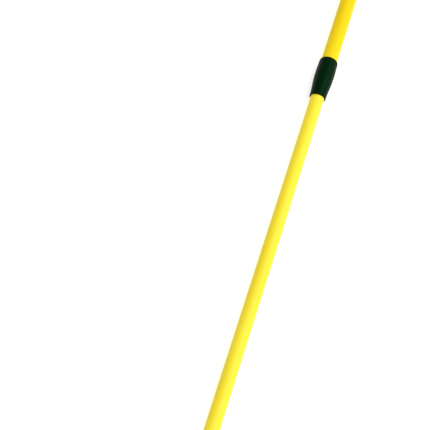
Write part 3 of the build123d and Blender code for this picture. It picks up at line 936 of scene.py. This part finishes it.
def plated_steel(name):
    """Zinc plate: brushed rings, cloudy passivation and a duller film in places."""
    f = Finish(name, Metallic=1.0)
    brushed = f.noise(3000, 3, 0.6, (0.04, 1, 1))
    cloud = f.noise(300, 4, 0.6)
    colour = f.mixed(f.scaled(cloud, 0.35, 0.65), (0.44, 0.46, 0.5, 1), (0.68, 0.69, 0.68, 1))
    film = f.scaled(f.noise(120, 4, 0.7), 0.55, 0.7, 0, 0.35)
    colour = f.mixed(film, colour, (0.3, 0.28, 0.22, 1))
    bright = f.scaled(brushed, 0.3, 0.7, 0.2, 0.34)
    roughness = f.maths("ADD", bright, f.maths("MULTIPLY", film, 0.4))
    f.bumps((brushed, 0.00002, 0.5))
    return f.done(colour, roughness)


def cast_alloy(name):
    """Die-cast alloy: a granular grey skin, with painted shade that darkens it low in the thread,
    bright on its worn crests, with fine rings where the flange was faced."""
    f = Finish(name, Metallic=1.0)
    grainy = f.noise(1500, 4, 0.65)
    blotch = f.noise(140, 4, 0.6)
    rings = f.noise(2400, 2, 0.5, (0.03, 1, 0.03))
    colour = f.mixed(f.scaled(blotch, 0.35, 0.65), (0.36, 0.36, 0.37, 1), (0.52, 0.52, 0.51, 1))
    # painted shade: the colour darkens the deeper a point lies below the thread's crest, towards its
    # roots
    painted_shade_mask = f.scaled(f.from_axis(), THREAD_R - PAINTED_SHADE_FROM, THREAD_R - THREAD_DEPTH, 0, 0.5)
    colour = f.mixed(painted_shade_mask, colour, (0.17, 0.165, 0.155, 1))
    high_up = f.scaled(f.from_axis(), THREAD_R - WORN_FROM, THREAD_R - WORN_FULLY)
    crest = f.maths("MULTIPLY", high_up, f.scaled(grainy, 0.35, 0.6, 0.2, 0.55))
    colour = f.mixed(crest, colour, (0.72, 0.72, 0.71, 1))
    cast = f.scaled(grainy, 0.3, 0.7, 0.36, 0.52)
    roughness = f.maths("SUBTRACT", cast, f.maths("MULTIPLY", crest, 0.15))
    f.bumps((grainy, 0.00006, 0.5), (rings, 0.00003, 0.5))
    return f.done(colour, roughness)


def pale_floor(name):
    """A white studio table: nearly even, with the faintest drift of tone and grain."""
    f = Finish(name, Specular_IOR_Level=0.1, Emission_Color=(1, 1, 1, 1), Emission_Strength=TABLE_GLOW)
    drift = f.noise(1.2, 2)
    colour = f.mixed(f.scaled(drift, 0.3, 0.7), FLOOR_LOW, FLOOR_HIGH)
    f.bumps((f.noise(400, 2), 0.00005, 0.1))
    return f.done(colour, 0.9)


# PAINTED_SHADE_FROM is the depth where the painted shade in the thread begins
PAINTED_SHADE_FROM, WORN_FROM, WORN_FULLY = 0.9 * MM, 0.6 * MM, 0.1 * MM   # depths below the crest
GREEN_TINT = (0.1, 1, 0.3, 1)
FLOOR_LOW, FLOOR_HIGH = (0.58, 0.58, 0.58, 1), (0.62, 0.62, 0.62, 1)
TABLE_GLOW = 0.68
FINISHES = {
    "base_tube_yellow": glass_fibre(
        "base_tube_resin",
        (0.92, 0.68, 0.008, 1),
        (0.88, 0.63, 0.004, 1),
        (0.95, 0.76, 0.03, 1),
        scuffs=0.25,
        sheen=0.07,
    ),
    "extension_tube_yellow": glass_fibre(
        "extension_tube_resin",
        (0.96, 0.78, 0.032, 1),
        (0.93, 0.73, 0.022, 1),
        (0.98, 0.85, 0.08, 1),
        scuffs=0.5,
        sheen=0.2,
    ),
    "collar_green": moulded(
        "collar_moulding",
        (0.0005, 0.011, 0.0024, 1),
        (0.0003, 0.008, 0.0016, 1),
        (0.002, 0.02, 0.006, 1),
    ),
    "grip_green": grip_rubber(
        "grip_skin",
        (0.0012, 0.013, 0.0036, 1),
        (0.0006, 0.008, 0.002, 1),
        (0.008, 0.036, 0.015, 1),
    ),
    "cap_green": moulded(
        "cap_moulding",
        (0.003, 0.028, 0.010, 1),
        (0.002, 0.018, 0.006, 1),
        (0.014, 0.06, 0.028, 1),
        grain=0.8,
        gloss=0.36,
    ),
    "bearing_nylon": nylon("bearing_nylon_white", (0.78, 0.76, 0.68, 1), (0.66, 0.63, 0.54, 1)),
    "spindle_nylon": nylon("spindle_nylon_black", (0.03, 0.03, 0.032, 1), (0.014, 0.014, 0.015, 1)),
    "black_rubber": black_rubber("seal_rubber"),
    "plated_steel": plated_steel("zinc_plate"),
    "tip_alloy": cast_alloy("tip_casting_alloy"),
}


# ---- assembly ----------------------------------------------------------------------------------
def fit(piece, body, node, slot):
    """Puts a finished piece in the place of its CAD node, on that node's body."""
    piece.data.materials.append(FINISHES[slot])
    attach(piece, body)
    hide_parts(node)


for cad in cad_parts.values():
    for holder in cad.material_slots:
        holder.material = FINISHES[holder.material.name]

pins = ("end_cap_pin", "spindle_cross_pin", "tip_cross_pin")
cap_pin, spindle_pin, tip_pin = (middle(pin) for pin in pins)
base_tube = tube("base_tube", "outer_tube", BASE_R, BASE_BORE_R, [cap_pin])
fit(base_tube, "outer_section", "outer_tube", "base_tube_yellow")
extension_tube = tube(
    "extension_tube", "inner_tube", EXTENSION_R, EXTENSION_BORE_R, [spindle_pin, tip_pin]
)
fit(extension_tube, "inner_section", "inner_tube", "extension_tube_yellow")
fit(lock_collar_sleeve(), "outer_section", "lock_collar", "collar_green")
fit(grip_sleeve(), "outer_section", "hand_grip", "grip_green")
fit(hanging_cap(), "outer_section", "end_cap", "cap_green")
fit(tip_ferrule_sleeve(), "inner_section", "tip_ferrule", "cap_green")
fit(threaded_tip_casting(), "inner_section", "threaded_tip", "tip_alloy")


# ---- floor, light and camera -------------------------------------------------------------------
def studio_floor():
    """A level sheet under the pole, a plain grid of points at z = 0."""
    line = np.linspace(-FLOOR_HALF, FLOOR_HALF, FLOOR_POINTS)
    x, y = np.meshgrid(line, line, indexing="ij")
    grid = np.arange(x.size).reshape(x.shape)
    faces = np.stack([grid[:-1, :-1], grid[1:, :-1], grid[1:, 1:], grid[:-1, 1:]], -1)
    mesh = bpy.data.meshes.new("studio_floor")
    mesh.from_pydata(np.stack([x, y, 0 * x], -1).reshape(-1, 3), [], faces.reshape(-1, 4))
    mesh.materials.append(pale_floor("studio_table_white"))
    floor = bpy.data.objects.new("studio_floor", mesh)
    bpy.context.scene.collection.objects.link(floor)


def direction(azimuth, elevation):
    """Unit vectors right, up and back for a view or a light from a direction in degrees."""
    a, e = radians(azimuth), radians(elevation)
    back = Vector((sin(a) * cos(e), -cos(a) * cos(e), sin(e)))
    right = Vector((cos(a), sin(a), 0))
    return right, back.cross(right), back


def stand(name, data, axes, place):
    """An object at a place, with its own axes along the given ones."""
    holder = bpy.data.objects.new(name, data)
    holder.matrix_world = Matrix.Translation(place) @ Matrix(axes).transposed().to_4x4()
    bpy.context.scene.collection.objects.link(holder)
    return holder


def studio_camera():
    """Seen from above the extension, a little to the right, with the tip end nearer."""
    right, up, back = direction(VIEW_AZIMUTH, VIEW_ELEVATION)
    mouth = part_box("lock_collar")[0].y
    aim = Vector((0, mouth - AIM_BELOW_COLLAR, AXIS_HEIGHT))
    camera = bpy.data.cameras.new("studio_camera")
    camera.lens, camera.sensor_width = LENS, SENSOR
    camera.clip_start, camera.clip_end = CLIP
    place = aim + back * VIEW_DISTANCE - right * AIM_RIGHT - up * AIM_UP
    bpy.context.scene.camera = stand("studio_camera", camera, (right, up, back), place)


def soft_key():
    """A broad even light from the upper right."""
    lamp = bpy.data.lights.new("key", "SUN")
    lamp.energy, lamp.angle = KEY_STRENGTH, radians(KEY_SPREAD)
    axes = direction(KEY_AZIMUTH, KEY_ELEVATION)
    stand("key", lamp, axes, axes[2] * KEY_DISTANCE)


def surround():
    """Even white light from all round."""
    world = bpy.data.worlds.new("studio_surround")
    world.use_nodes = True
    background = world.node_tree.nodes["Background"]
    background.inputs["Color"].default_value = (1, 1, 1, 1)
    background.inputs["Strength"].default_value = SURROUND_STRENGTH
    bpy.context.scene.world = world


FLOOR_HALF, FLOOR_POINTS = 60.0, 25
VIEW_AZIMUTH, VIEW_ELEVATION = 17.8, 66.6
VIEW_DISTANCE = 1.2944
AIM_BELOW_COLLAR = 0.2478      # the point of the pole that the view is hung from
AIM_RIGHT, AIM_UP = 0.0828, -0.0353   # where that point lies from the view's middle
LENS, SENSOR = 75.0, 36.0      # millimetres
CLIP = 0.01, 100.0
KEY_AZIMUTH, KEY_ELEVATION, KEY_SPREAD, KEY_STRENGTH = 111.0, 53.0, 45.0, 2.0
KEY_DISTANCE = 3.0
SURROUND_STRENGTH = 0.56

studio_floor()
studio_camera()
soft_key()
surround()
bpy.context.scene.view_settings.view_transform = "Standard"
